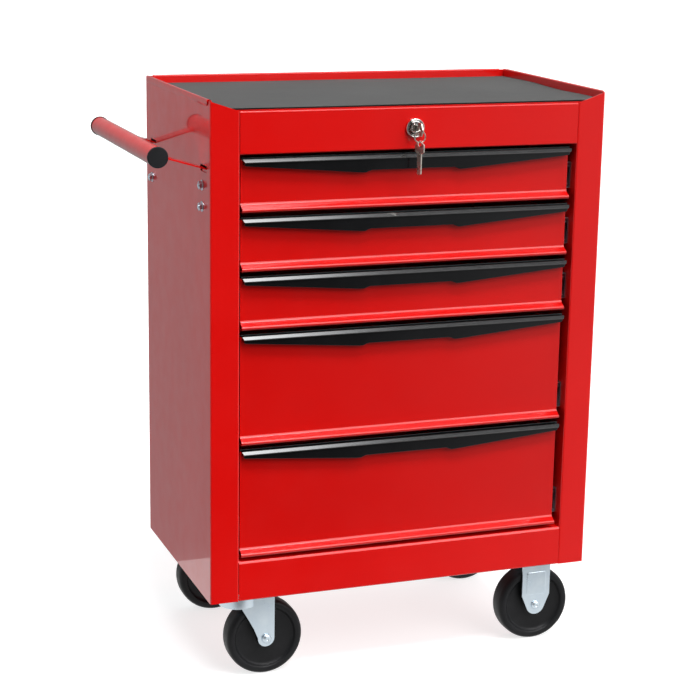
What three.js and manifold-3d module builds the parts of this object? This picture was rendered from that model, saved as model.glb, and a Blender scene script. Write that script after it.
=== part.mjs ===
// Five-drawer roller tool cabinet: a sheet-metal body on four casters, with a push handle on its left
// side and a keyed lock in the top rail. Millimetres, +Z up, drawers opening towards -Y.
import * as THREE from 'three';
import { mergeVertices } from 'three/addons/utils/BufferGeometryUtils.js';
import Module from 'manifold-3d';

const wasm = await Module();
wasm.setup();

// ---------------------------------------------------------------- driving dimensions
const GAP = 0.3; // clearance between pieces that touch
const SHEET = 1.2; // gauge of the folded steel sheet

const WIDTH = 560; // across the side panels
const DEPTH = 330; // front face to the rear flanges
const BASE = 122; // floor to the lower edge of the body
const SIDE_HEIGHT = 678; // height of the side panels
const STILE_WIDTH = 40; // front face of each folded side panel
const STILE_RETURN = 22; // inner flange of the stile
const REAR_FLANGE = 18;

const RAIL_TOP = BASE + 664.5; // upper edge of the top rail
const OPENING_TOP = BASE + 608.5; // lower edge of the top rail
const OPENING_BOTTOM = BASE + 56.5; // upper edge of the bottom rail
const FLOOR_LEVEL = BASE + 11.2; // upper face of the floor panel
const HEM = 9; // height of the folded band along the tray's lips
const MAT_THICKNESS = 2.5;

const SHALLOW_PITCH = 78;
const DEEP_PITCH = 157.5;
const DRAWER_PITCHES = [SHALLOW_PITCH, SHALLOW_PITCH, SHALLOW_PITCH, DEEP_PITCH, DEEP_PITCH];
const DRAWER_SPACE = 7; // gap between one drawer's lip and the next one's pull
const FIRST_PULL_TOP = BASE + 604;
const FRONT_XS = [-237, 231]; // the drawer fronts sit a little to the left on their trays
const FACE_RECESS = 8; // how far the flat drawer face sits behind the stiles
const PULL_XS = [-237, 234];
const TRAY_HALF = 227;
const TRAY_BACK = 305;
const TRAY_WALL = 1;
const SLIDE_HEIGHT = 36;

const LOCK_Z = BASE + 637;
const BORE = 9.8; // radius of the lock's hole in the top rail
const KEY_Y = -19.5; // centre of the key's bow, in front of the rail

const TUBE_X = -350;
const TUBE_Z = BASE + 610;
const TUBE_RADIUS = 12.7;
const CAP_RADIUS = 13.5; // collar of the tube's end caps
const TUBE_FRONT = -5.2;
const TUBE_REAR = 315;
const BRACKET_YS = [30, 290];
const BRACKET_WIDTH = 26;
const BRACKET_GAUGE = 2;
const BRACKET_SLOT_ZS = [TUBE_Z - 26, TUBE_Z - 17]; // the panel's slot that the arm comes out of
const BRACKET_BOLT_ZS = [TUBE_Z - 44, TUBE_Z - 72];
const BRACKET_BOLT_SHIFT = 6; // the bolts sit behind the bracket's middle
const BRACKET_BOLT_HOLE = 3.3;

const WHEEL_RADIUS = 54.5;
const AXLE_RADIUS = 4.5;
const CASTER_YS = [40, 290];
const SWIVEL_X = -230; // kingpins of the left pair
const RIGID_X = 217; // axles of the right pair
const TRAIL = 36; // kingpin to axle
const FORK_INSIDE = 17.3; // half the distance between the fork's legs
const FORK_GAUGE = 2.5;
const PLATE_TOP = FLOOR_LEVEL - SHEET - GAP;
const PLATE_GAUGE = 3;

// ---------------------------------------------------------------- finishes
const finish = (color, roughness, metalness) => () =>
  new THREE.MeshStandardMaterial({ color, roughness, metalness });
const redPaint = finish(0xc8140f, 0.25, 0.0);
const blackPlastic = finish(0x1b1c1e, 0.35, 0.0);
const rubberMat = finish(0x5c5e5d, 0.9, 0.0);
const zinc = finish(0xb9c4cb, 0.35, 0.9);
const chrome = finish(0xd9dbdd, 0.12, 1.0);
const wheelPlastic = finish(0x18191b, 0.55, 0.0);

// ---------------------------------------------------------------- solids
function toSolid(geometry) {
  const bare = geometry.clone();
  bare.deleteAttribute('normal');
  bare.deleteAttribute('uv');
  const merged = mergeVertices(bare, 1e-4);
  return new wasm.Manifold(new wasm.Mesh({
    numProp: 3,
    vertProperties: new Float32Array(merged.attributes.position.array),
    triVerts: new Uint32Array(merged.index.array),
  }));
}

function toGeometry(solid) {
  const mesh = solid.getMesh();
  const indexed = new THREE.BufferGeometry();
  indexed.setAttribute('position', new THREE.BufferAttribute(new Float32Array(mesh.vertProperties), 3));
  indexed.setIndex(new THREE.BufferAttribute(new Uint32Array(mesh.triVerts), 1));
  const geometry = indexed.toNonIndexed();
  geometry.computeVertexNormals();
  return geometry;
}

function join(geometries) {
  return toGeometry(geometries.map(toSolid).reduce((sum, solid) => sum.add(solid)));
}

function cut(geometry, cutters) {
  return toGeometry(cutters.map(toSolid).reduce((rest, tool) => rest.subtract(tool), toSolid(geometry)));
}

function common(geometry, other) {
  return toGeometry(toSolid(geometry).intersect(toSolid(other)));
}

// Box between two corners.
function block([x0, x1], [y0, y1], [z0, z1]) {
  const geometry = new THREE.BoxGeometry(x1 - x0, y1 - y0, z1 - z0);
  return geometry.translate((x0 + x1) / 2, (y0 + y1) / 2, (z0 + z1) / 2);
}

const axisBases = {
  x: [new THREE.Vector3(0, 1, 0), new THREE.Vector3(0, 0, 1), new THREE.Vector3(1, 0, 0)],
  y: [new THREE.Vector3(1, 0, 0), new THREE.Vector3(0, 0, 1), new THREE.Vector3(0, -1, 0)],
  z: [new THREE.Vector3(1, 0, 0), new THREE.Vector3(0, 1, 0), new THREE.Vector3(0, 0, 1)],
};

// Prism of an outline along an axis, from low to high. The outline is (y, z), (x, z) or (x, y).
function prism(shape, axis, low, high) {
  const settings = { depth: high - low, bevelEnabled: false, curveSegments: 6 };
  const geometry = new THREE.ExtrudeGeometry(shape, settings);
  geometry.applyMatrix4(new THREE.Matrix4().makeBasis(...axisBases[axis]));
  const start = new THREE.Vector3();
  start[axis] = axis === 'y' ? high : low;
  return geometry.translate(start.x, start.y, start.z);
}

// Round bar along an axis, from low to high, centred on the two other coordinates.
function bar(axis, radius, low, high, centre, segments = 16) {
  const geometry = new THREE.CylinderGeometry(radius, radius, high - low, segments);
  const middle = (low + high) / 2;
  if (axis === 'x') {
    return geometry.rotateZ(Math.PI / 2).translate(middle, centre[0], centre[1]);
  }
  if (axis === 'y') {
    return geometry.translate(centre[0], middle, centre[1]);
  }
  return geometry.rotateX(Math.PI / 2).translate(centre[0], centre[1], middle);
}

// Body turned about the Y axis from a profile of [radius, y] points.
function turned(profile, segments) {
  return new THREE.LatheGeometry(profile.map(([r, y]) => new THREE.Vector2(r, y)), segments);
}

// Outline of a bent strip: the line followed by its copy offset by the gauge, to the left of travel
// when the gauge is positive and to the right when it is negative.
function bentStrip(line, gauge) {
  const points = line.map(([a, b]) => new THREE.Vector2(a, b));
  const offset = points.map((point, i) => {
    const before = i > 0 ? point.clone().sub(points[i - 1]).normalize() : null;
    const after = i < points.length - 1 ? points[i + 1].clone().sub(point).normalize() : null;
    const into = before ?? after;
    const out = after ?? before;
    const left = new THREE.Vector2(-into.y - out.y, into.x + out.x).normalize();
    const scale = gauge / (left.x * -into.y + left.y * into.x);
    return point.clone().addScaledVector(left, scale);
  });
  return new THREE.Shape([...points, ...offset.reverse()]);
}

const mirrored = (side, line) => line.map(([a, b]) => [side * a, b]);

// ---------------------------------------------------------------- scene
const cabinet = new THREE.Group();

function part(name, geometry, material, parent = cabinet) {
  const mesh = new THREE.Mesh(geometry, material());
  mesh.name = name;
  parent.add(mesh);
  return mesh;
}

// ---------------------------------------------------------------- body shell
const half = WIDTH / 2;
const stileInner = half - STILE_WIDTH;
const sideTop = BASE + SIDE_HEIGHT;
const lipTop = sideTop + GAP + SHEET;

function handleCutters() {
  const halfSlot = BRACKET_WIDTH / 2 + 2;
  const slots = BRACKET_YS.map((y) =>
    block([-half - 1, -half + 2], [y - halfSlot, y + halfSlot], BRACKET_SLOT_ZS));
  const holes = bracketBolts().map((bolt) => bar('x', BRACKET_BOLT_HOLE, -half - 1, -half + 5, bolt, 12));
  return [...slots, ...holes];
}

// [y, z] of the two bolts under each bracket's slot.
function bracketBolts() {
  return BRACKET_YS.flatMap((y) => BRACKET_BOLT_ZS.map((z) => [y + BRACKET_BOLT_SHIFT, z]));
}

function sidePanel(side) {
  const line = mirrored(side, [
    [half - REAR_FLANGE, DEPTH],
    [half, DEPTH],
    [half, 0],
    [stileInner, 0],
    [stileInner, STILE_RETURN],
  ]);
  const panel = prism(bentStrip(line, side * -SHEET), 'z', BASE, sideTop);
  // The stile's top slopes from the outer corner down to the rail; its return stops at the floor panel.
  const slope = new THREE.Shape(mirrored(side, [
    [half, sideTop],
    [stileInner, RAIL_TOP],
    [stileInner - 5, RAIL_TOP],
    [stileInner - 5, sideTop + 5],
    [half, sideTop + 5],
  ]).map(([x, z]) => new THREE.Vector2(x, z)));
  const xs = (a, b) => [Math.min(side * a, side * b), Math.max(side * a, side * b)];
  const cutters = [
    prism(slope, 'y', -1, STILE_RETURN + 1),
    block(xs(stileInner - 1, half - SHEET), [SHEET, STILE_RETURN + 1], [RAIL_TOP - 12, sideTop + 5]),
    block(xs(stileInner - 1, half - SHEET), [SHEET, STILE_RETURN + 1], [BASE - 1, FLOOR_LEVEL + GAP]),
  ];
  return cut(panel, side < 0 ? [...cutters, ...handleCutters()] : cutters);
}

part('left_side_panel', sidePanel(-1), redPaint);
part('right_side_panel', sidePanel(1), redPaint);

const backFront = DEPTH - 2 * SHEET - GAP; // front face of the back panel
part(
  'back_panel',
  block(
    [-half + SHEET + GAP, half - SHEET - GAP],
    [backFront, backFront + SHEET],
    [FLOOR_LEVEL + GAP, sideTop - 0.5],
  ),
  redPaint,
);

// Tray: a floor between two hemmed side lips and a hemmed rear lip.
const trayFloor = RAIL_TOP + GAP;
function topTray() {
  const hemFace = half + GAP + SHEET;
  const lipInner = half - SHEET - GAP - SHEET;
  const across = bentStrip([
    [-hemFace, lipTop - HEM],
    [-hemFace, lipTop],
    [-lipInner, lipTop],
    [-lipInner, trayFloor + SHEET],
    [lipInner, trayFloor + SHEET],
    [lipInner, lipTop],
    [hemFace, lipTop],
    [hemFace, lipTop - HEM],
  ], -SHEET);
  const pan = prism(across, 'y', 2, DEPTH - 2 * SHEET - 2 * GAP);
  const hemStart = 9;
  const hemEnd = 12;
  const trims = [-1, 1].flatMap((side) => {
    const xs = [side * (lipInner + SHEET), side * (hemFace + 1)].sort((a, b) => a - b);
    return [
      block(xs, [0, hemStart], [trayFloor - 5, lipTop + 1]),
      block(xs, [DEPTH - hemEnd, DEPTH], [trayFloor - 5, lipTop + 1]),
    ];
  });
  const rearOut = DEPTH;
  const rearIn = DEPTH - 4 * SHEET;
  const rear = bentStrip([
    [rearOut, lipTop - HEM],
    [rearOut, lipTop],
    [rearIn, lipTop],
    [rearIn, trayFloor],
  ], SHEET);
  const rearHalf = half - 10;
  const flangeRooms = [-1, 1].map((side) => {
    const xs = [side * (half - REAR_FLANGE - 0.5), side * half].sort((a, b) => a - b);
    return block(xs, [DEPTH - SHEET - GAP, DEPTH + 1], [lipTop - HEM - 1, sideTop + GAP]);
  });
  return join([cut(pan, trims), cut(prism(rear, 'x', -rearHalf, rearHalf), flangeRooms)]);
}
part('top_tray', topTray(), redPaint);

const matBottom = trayFloor + SHEET + GAP;
part(
  'top_mat',
  block([-half + 4, half - 4], [2.6, DEPTH - 4 * SHEET - 1], [matBottom, matBottom + MAT_THICKNESS]),
  rubberMat,
);

const railHalf = stileInner - GAP;
function topRail() {
  const line = [
    [12, OPENING_TOP],
    [0, OPENING_TOP],
    [0, RAIL_TOP],
    [20, RAIL_TOP],
    [20, RAIL_TOP - 9],
  ];
  const channel = prism(bentStrip(line, -SHEET), 'x', -railHalf, railHalf);
  return cut(channel, [bar('y', BORE, -1, 5, [0, LOCK_Z], 28)]);
}
part('top_rail', topRail(), redPaint);

const bottomRailLine = [
  [8, BASE],
  [0, BASE],
  [0, OPENING_BOTTOM - 3],
  [2.4, OPENING_BOTTOM],
  [24, OPENING_BOTTOM],
  [24, OPENING_BOTTOM - 9],
];
part('bottom_rail', prism(bentStrip(bottomRailLine, -SHEET), 'x', -railHalf, railHalf), redPaint);

const floorHalf = half - SHEET - GAP;
const floorLine = [
  [-floorHalf, BASE + 0.5],
  [-floorHalf, FLOOR_LEVEL],
  [floorHalf, FLOOR_LEVEL],
  [floorHalf, BASE + 0.5],
];
part(
  'bottom_panel',
  prism(bentStrip(floorLine, -SHEET), 'y', SHEET + GAP, DEPTH - SHEET - GAP),
  redPaint,
);

// ---------------------------------------------------------------- drawers and their slides
const faceBack = FACE_RECESS + SHEET + GAP; // front of the tray's front wall
const lipZs = DRAWER_PITCHES.map((pitch, i) =>
  FIRST_PULL_TOP + DRAWER_SPACE - DRAWER_PITCHES.slice(0, i + 1).reduce((sum, p) => sum + p, 0));
const slideZs = lipZs.map((z) => z + 31);

// The flat face ends in a crease, flares out and rolls under into the lip.
function drawerFront(height) {
  const path = new THREE.Path();
  path.moveTo(FACE_RECESS, height - 3);
  path.lineTo(FACE_RECESS, 11.5);
  path.quadraticCurveTo(FACE_RECESS - 0.6, 9.8, FACE_RECESS - 2.4, 8.6);
  path.absarc(1.6, 2.9, 2.9, Math.PI * 0.67, Math.PI * 1.5, false);
  path.lineTo(13, 0);
  const line = path.getPoints(4).map((point) => [point.x, point.y]);
  return prism(bentStrip(line, SHEET * 0.8), 'x', ...FRONT_XS);
}

// The pull: a band with a sloping front over the drawer's top edge and a wing-shaped plate below it.
const BAND = 6.2;
const BAND_REACH = 2.6; // how far the band stands proud of the stiles
function drawerPull(height) {
  const band = new THREE.Shape([
    [faceBack - GAP, height - BAND],
    [faceBack - GAP, height],
    [1.8, height],
    [0.9, height - 0.6],
    [-BAND_REACH, height - BAND + 1],
    [-BAND_REACH + 0.6, height - BAND],
  ].map(([y, z]) => new THREE.Vector2(y, z)));
  const endSlant = 3;
  const ends = new THREE.Shape([
    [PULL_XS[0], height + 1],
    [PULL_XS[1], height + 1],
    [PULL_XS[1] - endSlant, height - BAND - 1],
    [PULL_XS[0] + endSlant, height - BAND - 1],
  ].map(([x, z]) => new THREE.Vector2(x, z)));
  const bandBar = common(prism(band, 'x', ...PULL_XS), prism(ends, 'y', -4, 20));
  // The wing tapers down from thin ends, then steps up to a flat middle.
  const wing = new THREE.Shape([
    [FRONT_XS[0] + 3, height - 4],
    [FRONT_XS[0] + 3, height - 10.5],
    [-72, height - 24],
    [-67, height - 24],
    [-59, height - 21],
    [59, height - 21],
    [67, height - 24],
    [72, height - 24],
    [FRONT_XS[1] - 1, height - 10.5],
    [FRONT_XS[1] - 1, height - 4],
  ].map(([x, z]) => new THREE.Vector2(x, z)));
  const plate = prism(wing, 'y', -0.6, FACE_RECESS - GAP);
  const seat = block(
    [FRONT_XS[0] - 1, FRONT_XS[1] + GAP],
    [FACE_RECESS - GAP, 20],
    [0, height - 3 + GAP],
  );
  return cut(join([bandBar, plate]), [seat]);
}

function drawerTray(height) {
  const wallTop = height - 12;
  const outer = block([-TRAY_HALF, TRAY_HALF], [faceBack, TRAY_BACK], [5, wallTop]);
  const inner = block(
    [-TRAY_HALF + TRAY_WALL, TRAY_HALF - TRAY_WALL],
    [faceBack + TRAY_WALL, TRAY_BACK - TRAY_WALL],
    [5 + TRAY_WALL, wallTop + 1],
  );
  const hems = [-1, 1].map((side) => {
    const edge = side * (TRAY_HALF - TRAY_WALL);
    const xs = [edge, edge - side * 4].sort((a, b) => a - b);
    const ys = [faceBack + TRAY_WALL / 2, TRAY_BACK - TRAY_WALL / 2];
    return block(xs, ys, [wallTop - TRAY_WALL, wallTop]);
  });
  return join([cut(outer, [inner]), ...hems]);
}

// Inner slide member on the drawer: a channel open towards the cabinet's side.
const INNER_HALF = 13;
function slideMember(side) {
  const web = TRAY_HALF + GAP;
  const reach = web + 9;
  const line = mirrored(side, [
    [reach, INNER_HALF],
    [web, INNER_HALF],
    [web, -INNER_HALF],
    [reach, -INNER_HALF],
  ]);
  return prism(bentStrip(line, side * SHEET), 'y', 14, 302);
}

// Cabinet side: five outer channels welded to a rear upright.
function slideRack(side) {
  const xs = (a, b) => [Math.min(side * a, side * b), Math.max(side * a, side * b)];
  const web = stileInner - GAP;
  const mouth = web - 8;
  const tip = SLIDE_HEIGHT / 2;
  const channels = slideZs.map((z) => {
    const line = mirrored(side, [
      [mouth, z + tip - 3.4],
      [mouth, z + tip],
      [web, z + tip],
      [web, z - tip],
      [mouth, z - tip],
      [mouth, z - tip + 3.4],
    ]);
    return prism(bentStrip(line, side * -SHEET), 'y', 15, 310);
  });
  const low = FLOOR_LEVEL + GAP;
  const high = OPENING_TOP - 3;
  const upright = new THREE.Shape([
    ...bentStrip(mirrored(side, [
      [web - 0.2, 286],
      [web - 0.2, backFront - GAP],
      [half - 4, backFront - GAP],
    ]), side * -SHEET).getPoints(),
  ]);
  const strip = block(xs(web - SHEET, web + 1), [286, 298], [low, high]);
  return join([prism(upright, 'z', low, high), strip, ...channels]);
}
part('left_slide_rack', slideRack(-1), zinc);
part('right_slide_rack', slideRack(1), zinc);

DRAWER_PITCHES.forEach((pitch, i) => {
  const name = `drawer_${i + 1}`;
  const height = pitch - DRAWER_SPACE;
  const drawer = new THREE.Group();
  drawer.position.z = lipZs[i];
  cabinet.add(drawer);
  part(`${name}_tray`, drawerTray(height), redPaint, drawer);
  part(`${name}_front`, drawerFront(height), redPaint, drawer);
  part(`${name}_pull`, drawerPull(height), blackPlastic, drawer);
  [-1, 1].forEach((side) => {
    const member = part(`${name}_slide_${side < 0 ? 'left' : 'right'}`, slideMember(side), zinc, drawer);
    member.position.z = slideZs[i] - lipZs[i];
  });
});

// ---------------------------------------------------------------- lock and keys
const PLUG_RADIUS = 6.4;
const housingProfile = [
  [PLUG_RADIUS + GAP, -5.4],
  [9.6, -5.4],
  [10.2, -4.6],
  [11.6, -4.4],
  [12.7, -2.6],
  [12.7, -GAP],
  [BORE - GAP, -GAP],
  [BORE - GAP, 21],
  [PLUG_RADIUS + GAP, 21],
  [PLUG_RADIUS + GAP, -5.4],
];
const housing = part('lock_housing', turned(housingProfile, 28), chrome);
housing.position.z = LOCK_Z;

const BLADE_GAUGE = 2;
const BLADE_HEIGHT = 7.4;
const keyway = block([-1.3, 1.3], [-8, 17], [-BLADE_HEIGHT / 2 - GAP, BLADE_HEIGHT / 2 + GAP]);
const plug = part('lock_plug', cut(bar('y', PLUG_RADIUS, -5.6, 22, [0, 0], 24), [keyway]), chrome);
plug.position.z = LOCK_Z;

const camShape = new THREE.Shape();
camShape.absarc(0, 0, 7, 0, Math.PI, false);
camShape.lineTo(-5, -24);
camShape.lineTo(5, -24);
camShape.lineTo(7, 0);
const cam = part('lock_cam', prism(camShape, 'y', 22 + GAP, 24 + GAP), zinc);
cam.position.z = LOCK_Z;

// Flat key drawn with its bow's hole at the origin and its blade along +U.
const BOW = 10;
const HOLE = 3.1;
function keyGeometry(bladeEnd, holeOffset) {
  const bow = new THREE.Shape([0, 1, 2, 3, 4, 5].map((corner) => {
    const angle = (corner * Math.PI) / 3;
    return new THREE.Vector2(holeOffset + BOW * Math.cos(angle), BOW * Math.sin(angle));
  }));
  const hole = new THREE.Path();
  hole.absarc(0, 0, HOLE, 0, 2 * Math.PI, true);
  bow.holes.push(hole);
  const bladeHalf = BLADE_HEIGHT / 2;
  const root = holeOffset + BOW - 3;
  const bits = [0.55, 0.65, 0.75, 0.85].flatMap((share, i) => {
    const at = root + (bladeEnd - root) * share;
    return [[at - 1, bladeHalf], [at, bladeHalf - (i % 2 ? 1.6 : 1)], [at + 1, bladeHalf]];
  });
  const blade = new THREE.Shape([
    [root, -bladeHalf],
    [bladeEnd - 2, -bladeHalf],
    [bladeEnd, 0],
    [bladeEnd - 2, bladeHalf],
    ...bits.reverse(),
    [root, bladeHalf],
  ].map(([u, v]) => new THREE.Vector2(u, v)));
  const settings = { depth: BLADE_GAUGE, bevelEnabled: false, curveSegments: 12 };
  const flat = [bow, blade].map((shape) => new THREE.ExtrudeGeometry(shape, settings));
  return join(flat).translate(0, 0, -BLADE_GAUGE / 2);
}

// The key in the lock: its blade points along +Y and its faces look along X.
const keyHole = [KEY_Y, LOCK_Z];
const key = part('key', keyGeometry(35, 0), chrome);
key.geometry.applyMatrix4(new THREE.Matrix4().makeBasis(...axisBases.x));
key.position.set(0, keyHole[0], keyHole[1]);

const WIRE = 0.75;
const RING = 7.6;
const ringZ = keyHole[1] - HOLE + GAP + WIRE - RING;
const ring = part('key_ring', new THREE.TorusGeometry(RING, WIRE, 6, 24), chrome);
ring.geometry.rotateX(Math.PI / 2);
ring.position.set(0, KEY_Y, ringZ);

// The spare key hangs on the ring with its blade down, turned a little about the vertical.
const spare = part('spare_key', keyGeometry(41, 5), chrome);
spare.geometry.applyMatrix4(new THREE.Matrix4().makeBasis(
  new THREE.Vector3(0, 0, -1),
  new THREE.Vector3(0, 1, 0),
  new THREE.Vector3(1, 0, 0),
));
spare.rotation.z = THREE.MathUtils.degToRad(20);
spare.position.set(0, KEY_Y, ringZ - RING + WIRE + GAP - HOLE);

// ---------------------------------------------------------------- push handle
const tubeWall = 1.2;
const tubeProfile = [
  [TUBE_RADIUS - tubeWall, TUBE_FRONT],
  [TUBE_RADIUS, TUBE_FRONT],
  [TUBE_RADIUS, TUBE_REAR],
  [TUBE_RADIUS - tubeWall, TUBE_REAR],
  [TUBE_RADIUS - tubeWall, TUBE_FRONT],
];
part('handle_tube', turned(tubeProfile, 32), redPaint).position.set(TUBE_X, 0, TUBE_Z);

function endCap() {
  const spigot = TUBE_RADIUS - tubeWall - GAP;
  return turned([
    [0, -10],
    [spigot, -10],
    [spigot, GAP],
    [CAP_RADIUS, GAP],
    [CAP_RADIUS, 2.8],
    [CAP_RADIUS - 1.2, 4],
    [0, 4],
  ], 32);
}
const rearCap = part('handle_cap_rear', endCap(), blackPlastic);
rearCap.position.set(TUBE_X, TUBE_REAR, TUBE_Z);
const frontCap = part('handle_cap_front', endCap(), blackPlastic);
frontCap.rotation.z = Math.PI;
frontCap.position.set(TUBE_X, TUBE_FRONT, TUBE_Z);

// Bracket: a bolted leg inside the panel and an arm rising through the slot to the tube.
function bracket(y) {
  const inside = -half + SHEET + GAP;
  const line = [
    [inside, BRACKET_BOLT_ZS[1] - 12],
    [inside, TUBE_Z - 21.8],
    [TUBE_X + TUBE_RADIUS + 0.2, TUBE_Z - 4.6],
  ];
  const [low, high] = [y - BRACKET_WIDTH / 2, y + BRACKET_WIDTH / 2];
  const arm = prism(bentStrip(line, -BRACKET_GAUGE), 'y', low, high);
  const holes = bracketBolts().filter(([at]) => Math.abs(at - y) < BRACKET_WIDTH);
  const cutters = holes.map((bolt) => bar('x', BRACKET_BOLT_HOLE, inside - 1, inside + 5, bolt, 12));
  const tubeRoom = bar('y', TUBE_RADIUS + GAP, low - 1, high + 1, [TUBE_X, TUBE_Z], 32);
  return cut(arm, [...cutters, tubeRoom]);
}
part('handle_bracket_front', bracket(BRACKET_YS[0]), redPaint);
part('handle_bracket_rear', bracket(BRACKET_YS[1]), redPaint);

// ---------------------------------------------------------------- casters
const plateZ = [PLATE_TOP - PLATE_GAUGE, PLATE_TOP];
const PLATE_HALF = [46, 33];
const PLATE_BOLT = [37, 24];

function plateHoles() {
  return [-1, 1].flatMap((sx) => [-1, 1].map((sy) =>
    bar('z', 4.2, plateZ[0] - 1, plateZ[1] + 1, [sx * PLATE_BOLT[0], sy * PLATE_BOLT[1]], 10)));
}

function mountingPlate() {
  return block([-PLATE_HALF[0], PLATE_HALF[0]], [-PLATE_HALF[1], PLATE_HALF[1]], plateZ);
}

const RACE_BOTTOM = BASE + 2.4;
const KINGPIN = 6;
function swivelPlate() {
  const race = bar('z', 27, RACE_BOTTOM, plateZ[0] + 0.5, [0, 0], 28);
  const pin = bar('z', KINGPIN, RACE_BOTTOM - 8, plateZ[1] - 1, [0, 0], 16);
  const head = bar('z', 9, RACE_BOTTOM - 9.5, RACE_BOTTOM - 7, [0, 0], 16);
  return cut(join([mountingPlate(), race, pin, head]), plateHoles());
}

const legYs = [[-FORK_INSIDE - FORK_GAUGE, -FORK_INSIDE], [FORK_INSIDE, FORK_INSIDE + FORK_GAUGE]];
const axleHole = (x) => bar('y', AXLE_RADIUS + GAP, -30, 30, [x, WHEEL_RADIUS], 16);

// A pressed yoke: a downturned cup round the kingpin, open on the wheel's side, and two tapered legs.
const CUP_RADIUS = 26;
const CUP_LIP = BASE - 18;
function swivelFork() {
  const crownTop = RACE_BOTTOM - GAP;
  const crownLow = crownTop - 6.4;
  const eye = 12;
  const side = new THREE.Shape();
  side.moveTo(-14, crownLow + 1);
  side.lineTo(-14, CUP_LIP + 4);
  side.lineTo(-1, CUP_LIP);
  side.lineTo(10.5, WHEEL_RADIUS + 29.5);
  side.lineTo(18, WHEEL_RADIUS + 15.5);
  side.lineTo(TRAIL - eye * 0.99, WHEEL_RADIUS + eye * 0.1);
  side.absarc(TRAIL, WHEEL_RADIUS, eye, Math.PI * 0.97, Math.PI * 2, false);
  side.lineTo(TRAIL + eye, crownLow + 1);
  const legs = legYs.map(([low, high]) => prism(side, 'y', low, high));
  const edge = legYs[1][1];
  const crown = block([0, TRAIL + eye], [-edge, edge], [crownLow, crownLow + FORK_GAUGE]);
  const cup = cut(bar('z', CUP_RADIUS, CUP_LIP, crownTop, [0, 0], 28), [
    bar('z', CUP_RADIUS - FORK_GAUGE, CUP_LIP - 1, crownLow, [0, 0], 28),
    block([8, CUP_RADIUS + 1], [-FORK_INSIDE, FORK_INSIDE], [CUP_LIP - 1, crownLow]),
  ]);
  const pinHole = bar('z', KINGPIN + GAP, crownLow - 1, crownTop + 1, [0, 0], 16);
  const headRoom = bar('z', 9 + GAP, crownLow - 5, crownLow + 0.1, [0, 0], 16);
  return cut(join([cup, ...legs, crown]), [pinHole, headRoom, axleHole(TRAIL)]);
}

function rigidFork() {
  const halfWidth = 21.8;
  const eye = 14.3;
  const side = new THREE.Shape();
  side.moveTo(-halfWidth, plateZ[0] + 1);
  side.lineTo(-halfWidth, WHEEL_RADIUS + 15);
  side.absarc(0, WHEEL_RADIUS, eye, Math.PI * 1.127, Math.PI * 1.873, false);
  side.lineTo(halfWidth, WHEEL_RADIUS + 15);
  side.lineTo(halfWidth, plateZ[0] + 1);
  const legs = legYs.map(([low, high]) => prism(side, 'y', low, high));
  const emboss = legYs.map(([low, high]) => {
    const ys = low < 0 ? [low - 0.8, low + 0.5] : [high - 0.5, high + 0.8];
    return block([-14.5, 14.5], ys, [WHEEL_RADIUS + 17, plateZ[0] - 24]);
  });
  return cut(join([mountingPlate(), ...legs, ...emboss]), [axleHole(0), ...plateHoles()]);
}

// Half of the wheel's section, from the bore out to the middle of the tread.
const wheelHalf = [
  [AXLE_RADIUS + GAP, 16.6],
  [12.5, 16.6],
  [14, 10],
  [WHEEL_RADIUS - 12.5, 10],
  [WHEEL_RADIUS - 9, 15.2],
  [WHEEL_RADIUS - 3.5, 14.2],
  [WHEEL_RADIUS, 7],
];
const wheelProfile = [
  ...wheelHalf,
  ...wheelHalf.map(([r, y]) => [r, -y]).reverse(),
  wheelHalf[0],
].reverse();

const headFace = FORK_INSIDE + FORK_GAUGE + GAP;
const axleHalf = [
  [AXLE_RADIUS, headFace],
  [6.6, headFace],
  [6.6, headFace + 1.4],
  [4.8, headFace + 3.2],
  [0, headFace + 3.8],
];
const axleProfile = [...axleHalf.map(([r, y]) => [r, -y]).reverse(), ...axleHalf];

const casters = [
  { name: 'front_left', x: SWIVEL_X, y: CASTER_YS[0], swivel: true },
  { name: 'rear_left', x: SWIVEL_X, y: CASTER_YS[1], swivel: true },
  { name: 'front_right', x: RIGID_X, y: CASTER_YS[0], swivel: false },
  { name: 'rear_right', x: RIGID_X, y: CASTER_YS[1], swivel: false },
];
casters.forEach(({ name, x, y, swivel }) => {
  const caster = new THREE.Group();
  caster.position.set(x, y, 0);
  cabinet.add(caster);
  if (swivel) {
    part(`${name}_caster_plate`, swivelPlate(), zinc, caster);
  }
  part(`${name}_fork`, swivel ? swivelFork() : rigidFork(), zinc, caster);
  const wheel = part(`${name}_wheel`, turned(wheelProfile, 32), wheelPlastic, caster);
  const axle = part(`${name}_axle`, turned(axleProfile, 16), zinc, caster);
  [wheel, axle].forEach((mesh) => mesh.position.set(swivel ? TRAIL : 0, 0, WHEEL_RADIUS));
});

// The origin is the centre of the bounding box's underside.
const box = new THREE.Box3().setFromObject(cabinet, true);
cabinet.position.set(-(box.min.x + box.max.x) / 2, -(box.min.y + box.max.y) / 2, -box.min.z);

export default cabinet;
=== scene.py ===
import math

import bmesh
import bpy
from mathutils import Matrix, Vector


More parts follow.
